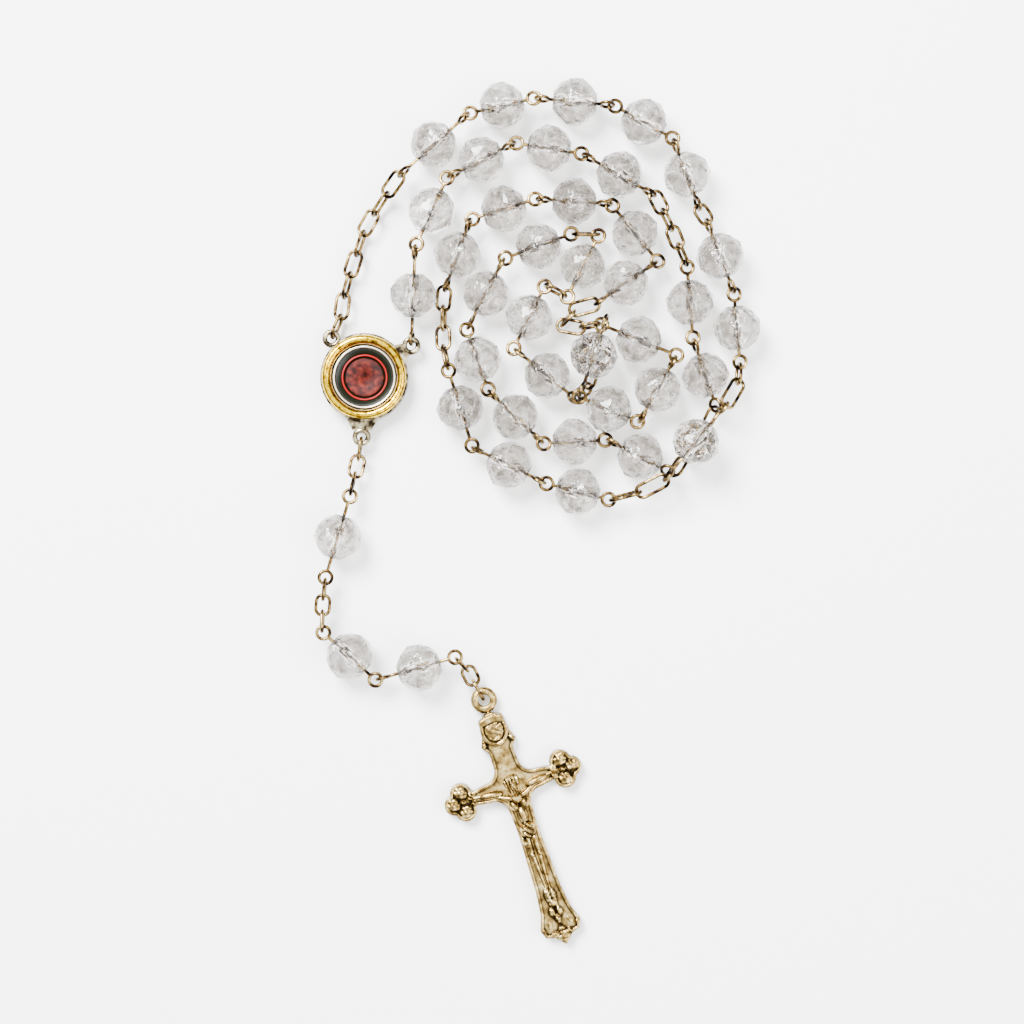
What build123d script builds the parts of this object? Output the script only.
"""A rosary laid out flat: glass beads on wire eye pins, a round centrepiece and a pendant with a crucifix.

Millimetres, +Z up. The origin is the middle of the centrepiece's flat back, on the surface that the
rosary lies on. +Y points from the centrepiece towards the loop of beads' first bead, and the pendant
hangs towards -Y.
"""
from build123d import *
from math import cos, hypot, radians, sin
import os

os.makedirs("parts", exist_ok=True)

# ---- driving dimensions ----
bead_diameter = 7.8  # over the corners of the facets
bead_length = 7.4  # along the bore
bead_sides = 10  # facets around
facet_rings = (16, 43)  # latitudes in degrees of the edges between bands of facets
wire_diameter = 0.6
bore_clearance = 0.08  # radial, between the wire and the bead
eye_width = 2.8  # outside, the round eye at each end of a bead's pin
link_width = 2.9  # outside, a chain link
link_slack = 0.2  # play between two hooked wires
bead_end_play = 0.1  # between a bead and the eyes that hold it

case_diameter = 15.0
case_height = 3.2
case_floor = 1.2
case_wall = 1.2
bezel_diameter = 14.4
bezel_height = 1.1
bezel_bore = 11.2
inner_ring_bore = 9.2
cup_bore = 7.6
cup_height = 1.0
stone_height = 1.1
fit_gap = 0.05  # between pieces that sit inside one another
lug_eye_width = 3.2  # outside, the cast eyes of the centrepiece
lug_wire = 0.9  # thickness of those eyes
shoulder_thickness = 0.7  # of the plates that carry them

cross_thickness = 1.8
cross_length = 42.0  # from the top of the title plate to the foot
cross_span = 24.6  # across the arms
cross_bar = 4.4  # width of the bars
lobe_diameter = 3.6  # the three lobes at each arm's end
rim_width = 0.5
rim_height = 0.4
bail_outer = 4.5  # the ring at the head of the cross
bail_hole = 2.0
bail_thickness = 1.2
cross_lean = 18.8  # degrees that the foot of the cross swings towards +X

# ---- worked out from them ----
wire_radius = wire_diameter / 2
bead_radius = bead_diameter / 2
reach = wire_radius + link_slack / 2  # a hooked wire's middle stands this far past the pivot
eye_radius = (eye_width - wire_diameter) / 2
link_radius = (link_width - wire_diameter) / 2
pin_length = bead_length + 2 * (bead_end_play + 2 * eye_radius + wire_radius - reach)
spread = max(bead_diameter / 7.8, pin_length / 11.8)  # the plan suits 7.8 mm beads on 11.8 mm pins
pin_height = bead_radius  # the beads lie on the surface
low = link_width / 2 + 0.15  # a free chain's middle line
under = link_width / 2 * cos(radians(45)) + 0.25  # the same, where links lie turned by 45 degrees
over = 2 * under + bead_radius + 0.15  # a bead's middle where it lies over a chain


def at(x, y, z=None):
    """A pivot in the plan, at the height of the bead pins unless told otherwise."""
    return Vector(x * spread, y * spread, pin_height if z is None else z)


def along(start, end, roll):
    """The plane whose Z runs from start to end and whose X is level, then turned by roll degrees."""
    way = end - start
    level = Vector(0, 0, 1).cross(way).normalized()
    side = level.rotate(Axis((0, 0, 0), (way.X, way.Y, way.Z)), roll)
    return Plane(origin=start, x_dir=side, z_dir=way)


def make_link(start, end, roll):
    """An oval wire link whose ends hook past the two pivots."""
    first = link_radius - reach
    last = (end - start).length + reach - link_radius
    with BuildPart(along(start, end, roll)) as link:
        with Locations((-link_radius, 0, first), (link_radius, 0, first)):
            Cylinder(wire_radius, last - first, align=(Align.CENTER, Align.CENTER, Align.MIN))
        with Locations((0, 0, first)):
            Torus(link_radius, wire_radius, major_angle=180, rotation=(-90, 0, 0), align=None)
        with Locations((0, 0, last)):
            Torus(link_radius, wire_radius, major_angle=180, rotation=(90, 0, 0), align=None)
    return link.part


def make_pin(start, end, roll_in, roll_out):
    """A straight wire through a bead, with an eye hooked past the pivot at each end."""
    frame = along(start, end, 0)
    length = (end - start).length
    first = eye_radius - reach
    last = length - first
    with BuildPart(frame) as pin:
        with Locations((0, 0, first + eye_radius)):
            Cylinder(wire_radius, last - first - 2 * eye_radius, align=(Align.CENTER, Align.CENTER, Align.MIN))
        for height, roll in ((first, roll_in), (last, roll_out)):
            with Locations(Location((0, 0, height), (0, 0, roll)) * Location((0, 0, 0), (90, 0, 0))):
                Torus(eye_radius, wire_radius)
    return pin.part


def make_bead(start, end):
    """A faceted glass bead with its bore, in the middle of the span between two pivots."""
    frame = along(start, end, 0)
    middle = (end - start).length / 2
    table = bead_radius * 0.36
    half = bead_length / 2
    bands = [(-half, table)]
    bands += [(-bead_radius * sin(radians(a)), bead_radius * cos(radians(a))) for a in reversed(facet_rings)]
    bands += [(bead_radius * sin(radians(a)), bead_radius * cos(radians(a))) for a in facet_rings]
    bands += [(half, table)]
    with BuildPart() as bead:
        for height, radius in bands:
            with BuildSketch(frame.offset(middle + height)):
                RegularPolygon(radius, bead_sides)
        loft(ruled=True)
        with BuildSketch(frame.offset(middle - half)):
            Circle(wire_radius + bore_clearance)
        extrude(amount=bead_length, mode=Mode.SUBTRACT)
    return bead.part


def save(label, pieces):
    """Write one node: a single piece, or a group of like pieces."""
    node = pieces[0] if len(pieces) == 1 else Compound(children=pieces)
    node.label = label
    export_step(node, f"parts/{label}.step")


class Strand:
    """Beads and links hooked one to the next, each running on to its pivot in the plan.

    ring is where the last piece ends: the middle, bend radius, normal and direction of its loop of wire.
    roll turns the next piece's wire about its own length: 0 is level and 90 is on edge.
    """

    def __init__(self, ring, roll):
        self.ring = ring
        self.roll = roll
        self.pins = []
        self.links = []
        self.beads = []

    def start(self, pivot):
        """The first pivot of the next piece: it pulls on the ring as near to its own way as it can slide."""
        middle, radius, normal, forward = self.ring
        start = middle
        for _ in range(3):
            way = (pivot - start).normalized()
            pull = way - normal * way.dot(normal)
            if pull.length < 0.6:
                pull = forward
            start = middle + pull.normalized() * radius - way * reach
        return start

    def hook(self, start, pivot, radius, roll):
        """Leave the end of a piece ready for the next, which goes through its loop at right angles."""
        frame = along(start, pivot, roll)
        self.ring = (pivot + frame.z_dir * (reach - radius), radius, frame.y_dir, frame.z_dir)
        self.roll = roll - 90 if roll > 0 else roll + 90

    def link(self, *pivots):
        for pivot in pivots:
            start = self.start(pivot)
            self.links.append(make_link(start, pivot, self.roll))
            self.hook(start, pivot, link_radius, self.roll)

    def bead(self, *pivots, twist=0):
        for pivot in pivots:
            start = self.start(pivot)
            self.pins.append(make_pin(start, pivot, self.roll, self.roll + twist))
            self.beads.append(make_bead(start, pivot))
            self.hook(start, pivot, eye_radius, self.roll + twist)

    def carry_on(self):
        """A new strand hooked to the end of this one."""
        return Strand(self.ring, self.roll)


# ---- centrepiece: a round case with three cast eyes ----
eye_height = 2.4  # the middle of the cast eyes
eye_ring = (lug_eye_width - lug_wire) / 2
eye_offset = 0.2 + reach  # from the middle of a cast eye to the first pivot of what hooks through it
left_eye = Vector(-5.6, 6.6, eye_height)
right_eye = Vector(8.0, 5.4, eye_height)
bottom_eye = Vector(-0.5, -10.2, eye_height)
shoulders = ((left_eye, 2.4), (right_eye, 4.6), (bottom_eye, 6.4))  # each eye with its shoulder's width
cavity = case_diameter / 2 - case_wall

with BuildPart() as case:
    with BuildSketch():
        Circle(case_diameter / 2)
    extrude(amount=case_height)
    chamfer(case.edges().sort_by(Axis.Z)[0], 0.5)
    for eye, width in shoulders:
        outer = hypot(eye.X, eye.Y) - eye_ring
        inner = cavity - 0.2
        web = Plane(origin=(0, 0, eye_height - shoulder_thickness / 2), x_dir=(eye.X, eye.Y, 0), z_dir=(0, 0, 1))
        with BuildSketch(web):
            Polygon((inner, width / 2), (inner, -width / 2), (outer, -width / 4), (outer, width / 4), align=None)
        extrude(amount=shoulder_thickness)
        with Locations(eye):
            Torus(eye_ring, lug_wire / 2)
    with BuildSketch(Plane.XY.offset(case_floor)):
        Circle(cavity)
    extrude(amount=case_height, mode=Mode.SUBTRACT)
save("centrepiece_case", [case.part])

with BuildPart() as bezel:
    with BuildSketch(Plane.XY.offset(case_height)):
        Circle(bezel_diameter / 2)
        Circle(bezel_bore / 2, mode=Mode.SUBTRACT)
    extrude(amount=bezel_height)
    fillet(bezel.edges().group_by(Axis.Z)[-1], 0.45)
save("centrepiece_bezel", [bezel.part])

with BuildPart() as inner_ring:
    with BuildSketch(Plane.XY.offset(case_floor)):
        Circle(cavity - fit_gap)
        Circle(inner_ring_bore / 2, mode=Mode.SUBTRACT)
    extrude(amount=case_height - case_floor - fit_gap)
    chamfer(inner_ring.edges().group_by(Axis.Z)[-1].sort_by(SortBy.RADIUS)[0], 0.35)
save("centrepiece_inner_ring", [inner_ring.part])

with BuildPart() as cup:
    with BuildSketch(Plane.XY.offset(case_floor)):
        Circle(inner_ring_bore / 2 - fit_gap)
        Circle(cup_bore / 2, mode=Mode.SUBTRACT)
    extrude(amount=cup_height)
save("centrepiece_cup", [cup.part])

with BuildPart() as stone:
    with BuildSketch(Plane.XY.offset(case_floor)):
        Circle(cup_bore / 2 - fit_gap)
    extrude(amount=stone_height)
    fillet(stone.edges().group_by(Axis.Z)[-1], 0.4)
save("centrepiece_stone", [stone.part])


def cast_ring(eye):
    """The loop that a cast eye offers to the piece hooked through it."""
    return eye, eye_offset + reach, Vector(0, 0, 1), Vector(eye.X, eye.Y, 0).normalized()


# ---- the loop of beads, left side: from the centrepiece round the outside and on into the coil ----
left = Strand(cast_ring(left_eye), 78)
left.link(at(-4.1, 10.3, low), at(-3.6, 14.0, low), at(-2.5, 17.6, low), at(-1.4, 21.2, low))
left.link(at(-0.2, 24.7, low), at(1.6, 28.1, low + 0.3), at(3.8, 31.2, low + 1.2), at(6.2, 34.4))
save("left_chain", left.links)
left.links = []
left.bead(at(17.5, 44.5), at(29.6, 47.5), at(42.1, 46.2), at(53.1, 40.2), at(57.0, 28.8))
left.link(at(58.5, 26.4))
left.bead(at(62.8, 14.7), at(64.0, 1.8))
left.link(at(63.6, -0.9, pin_height + 0.7), at(61.3, -4.9, over))
left.bead(at(51.1, -17.4, over))
left.link(at(46.7, -19.8, (pin_height + over) / 2), at(42.3, -20.8))
left.bead(at(30.4, -18.0), at(18.8, -12.2), at(14.2, 1.7))
left.link(at(13.6, 5.0, 3.0), at(13.4, 8.4, 2.2), at(13.5, 11.8, 2.2), at(13.8, 15.0))
left.bead(at(18.0, 26.4), at(29.8, 30.4), at(41.7, 29.4), at(50.4, 19.1), at(39.6, 12.5))
left.link(at(35.4, 11.4, 2.4), at(33.9, 9.1, 2.0), at(37.2, 8.2, 3.3), at(39.7, 9.0))
save("left_strand_pins", left.pins)
save("left_strand_links", left.links)

# ---- the innermost turn, which can be lifted out of the coil ----
inner_turn = left.carry_on()
inner_turn.bead(at(53.8, 3.4), at(47.0, -7.4), at(35.9, -3.3, over), at(41.1, 9.8, over))
save("inner_turn_pins", inner_turn.pins)

# ---- the loop of beads, right side: from the centrepiece and on inside the left side ----
right = Strand(cast_ring(right_eye), 78)
right.bead(at(8.8, 21.7, 2 * pin_height - eye_height), at(14.4, 34.4), at(25.3, 39.6), at(37.7, 37.8), at(49.2, 31.0))
right.link(at(50.9, 28.1), at(52.3, 25.2), at(53.5, 22.2), at(54.8, 19.3))
right.bead(at(56.0, 5.9))
right.bead(at(60.0, -5.5), twist=-33)
right.link(at(58.4, -8.2, 2.4), at(56.5, -11.0, under), at(54.6, -13.8, 2.4), at(52.6, -16.6, pin_height + 0.5))
right.bead(at(41.7, -10.9), twist=-33)
right.bead(at(29.9, -11.4), at(21.5, -2.7), at(17.3, 8.6), at(23.6, 19.7), at(35.9, 24.5))
right.link(at(39.6, 24.2))
right.bead(at(34.3, 12.9, 4.4))
right.link(at(31.2, 15.4))
right.bead(at(25.2, 4.2))
right.bead(at(36.3, -4.0), twist=33)
right.link(at(38.4, -1.7, 2.2), at(38.9, 1.2, under), at(39.4, 4.3, under), at(39.8, 7.3, under))
save("right_strand_pins", right.pins)
save("right_strand_links", right.links)

# ---- pendant: three beads and the links between them ----
upper = Strand(cast_ring(bottom_eye), 90)
upper.link(at(-1.0, -13.7, low + 0.2), at(-1.6, -16.7, low + 1.1), at(-2.2, -19.6))
save("pendant_upper_links", upper.links)
first_pendant = upper.carry_on()
first_pendant.bead(at(-6.7, -34.8))
save("pendant_pin_1", first_pendant.pins)
lower = first_pendant.carry_on()
lower.link(at(-6.9, -37.5, pin_height - 0.6), at(-7.1, -40.2, pin_height - 0.6), at(-7.1, -42.9))
save("pendant_lower_links", lower.links)
second_pendant = lower.carry_on()
second_pendant.bead(at(2.5, -52.0))
save("pendant_pin_2", second_pendant.pins)
third_pendant = second_pendant.carry_on()
third_pendant.bead(at(16.2, -47.5), twist=-90)
save("pendant_pin_3", third_pendant.pins)

bail_height = 1.4
bail_centre = at(20.4, -55.2, bail_height)
cross_links = third_pendant.carry_on()
near_bail = at(18.7, -52.2, low + 0.3)
to_bail = Vector(bail_centre.X - near_bail.X, bail_centre.Y - near_bail.Y, 0).normalized()
cross_links.link(at(17.4, -49.7, low + 1.3), near_bail, bail_centre - to_bail * eye_offset)
save("crucifix_links", cross_links.links)

for name, strand in (("left_bead", left), ("inner_bead", inner_turn), ("right_bead", right)):
    for number, bead in enumerate(strand.beads, 1):
        save(f"{name}_{number:02}", [bead])
for number, strand in enumerate((first_pendant, second_pendant, third_pendant), 1):
    save(f"pendant_bead_{number}", strand.beads)

# ---- crucifix, drawn with its foot towards -Y and then leant ----
across = (cos(radians(cross_lean)), sin(radians(cross_lean)), 0)
flat = Plane(origin=(bail_centre.X, bail_centre.Y, 0), x_dir=across, z_dir=(0, 0, 1))
half_bar = cross_bar / 2
top = 0.2 - bail_outer / 2
arm = top - 13.4  # the middle line of the arms
tip = cross_span / 2
lobe = lobe_diameter / 2
foot = top - cross_length
field_floor = cross_thickness - rim_height


def cross_outline(inset):
    """Half of the cross's outline, mirrored: arms with three lobes and a flared foot."""
    with BuildSketch() as outline:
        with BuildLine():
            Polyline((0, top), (half_bar, top - 1.2), (half_bar + 0.3, top - 4.2), (half_bar + 0.9, top - 5.6),
                     (half_bar - 0.1, top - 7), (half_bar, arm + 3.8))
            ThreePointArc((half_bar, arm + 3.8), (half_bar + 0.7, arm + 2.2), (half_bar + 2.4, arm + 1.6))
            Line((half_bar + 2.4, arm + 1.6), (tip - 2.9 * lobe, arm + 1.2))
            ThreePointArc((tip - 2.9 * lobe, arm + 1.2), (tip - 1.9 * lobe, arm + 1.85 * lobe),
                          (tip - 0.8 * lobe, arm + 0.95 * lobe))
            ThreePointArc((tip - 0.8 * lobe, arm + 0.95 * lobe), (tip, arm), (tip - 0.8 * lobe, arm - 0.95 * lobe))
            ThreePointArc((tip - 0.8 * lobe, arm - 0.95 * lobe), (tip - 1.9 * lobe, arm - 1.85 * lobe),
                          (tip - 2.9 * lobe, arm - 1.2))
            Line((tip - 2.9 * lobe, arm - 1.2), (half_bar + 2.4, arm - 1.6))
            ThreePointArc((half_bar + 2.4, arm - 1.6), (half_bar + 0.5, arm - 2.3), (half_bar - 0.2, arm - 4.1))
            Polyline((half_bar - 0.2, arm - 4.1), (half_bar - 0.4, arm - 8), (half_bar, foot + 10),
                     (half_bar + 0.5, foot + 6), (half_bar + 1.4, foot + 3.4), (half_bar + 0.8, foot + 2),
                     (half_bar - 0.6, foot + 1.6), (0, foot))
            mirror(about=Plane.YZ)
        make_face()
        if inset:
            offset(amount=-inset)
            with Locations((0, top)):
                Rectangle(cross_span, 2 * 6.6, mode=Mode.SUBTRACT)
    return outline.sketch


with BuildPart() as cross:
    with BuildSketch(flat):
        add(cross_outline(0))
    extrude(amount=cross_thickness)
    with BuildSketch(flat.offset(field_floor)):
        add(cross_outline(rim_width))
    extrude(amount=cross_thickness, mode=Mode.SUBTRACT)
    with BuildSketch(flat.offset(bail_height - bail_thickness / 2)):
        Circle(bail_outer / 2)
    extrude(amount=bail_thickness)
    with BuildSketch(flat):
        Circle(bail_hole / 2)
    extrude(amount=bail_height + bail_thickness, mode=Mode.SUBTRACT)
save("crucifix_cross", [cross.part])

with BuildPart() as title:
    with BuildSketch(flat.offset(cross_thickness)):
        with Locations((0, top - 3.3)):
            Ellipse(2.1, 2.8)
    extrude(amount=0.9)
    fillet(title.edges().group_by(Axis.Z)[-1], 0.3)
save("crucifix_title_plate", [title.part])


def limb(points, radii):
    """A round limb that tapers along its points, with a ball at each."""
    with BuildPart() as piece:
        for start, stop, big, small in zip(points, points[1:], radii, radii[1:]):
            way = Vector(*stop) - Vector(*start)
            with BuildSketch(Plane(origin=start, z_dir=way)):
                Circle(big)
            with BuildSketch(Plane(origin=stop, z_dir=way)):
                Circle(small)
            loft()
        for point, radius in zip(points, radii):
            with Locations(point):
                Sphere(radius)
    return piece.part


lie = field_floor + 0.45  # the height of the figure's middle line
with BuildPart() as figure:
    add(limb([(0, arm + 1.6, lie + 0.4)], [1.05]))
    add(limb([(0, arm - 0.2, lie), (0, arm - 3.2, lie), (0, arm - 6.0, lie)], [0.9, 1.35, 1.2]))
    for side in (-1, 1):
        add(limb([(side * 0.8, arm - 1.2, lie), (side * 4.6, arm - 0.3, lie), (side * 8.2, arm + 0.3, lie)],
                 [0.75, 0.6, 0.45]))
        add(limb([(side * 0.5, arm - 6.4, lie), (side * 0.75, arm - 11.2, lie), (side * 0.3, arm - 16.4, lie)],
                 [0.8, 0.65, 0.5]))
    with BuildSketch(Plane.XY.offset(field_floor)):
        Rectangle(2 * cross_span, 3 * cross_length)
    extrude(amount=-5, mode=Mode.SUBTRACT)
save("crucifix_figure", [figure.part.moved(flat.location)])
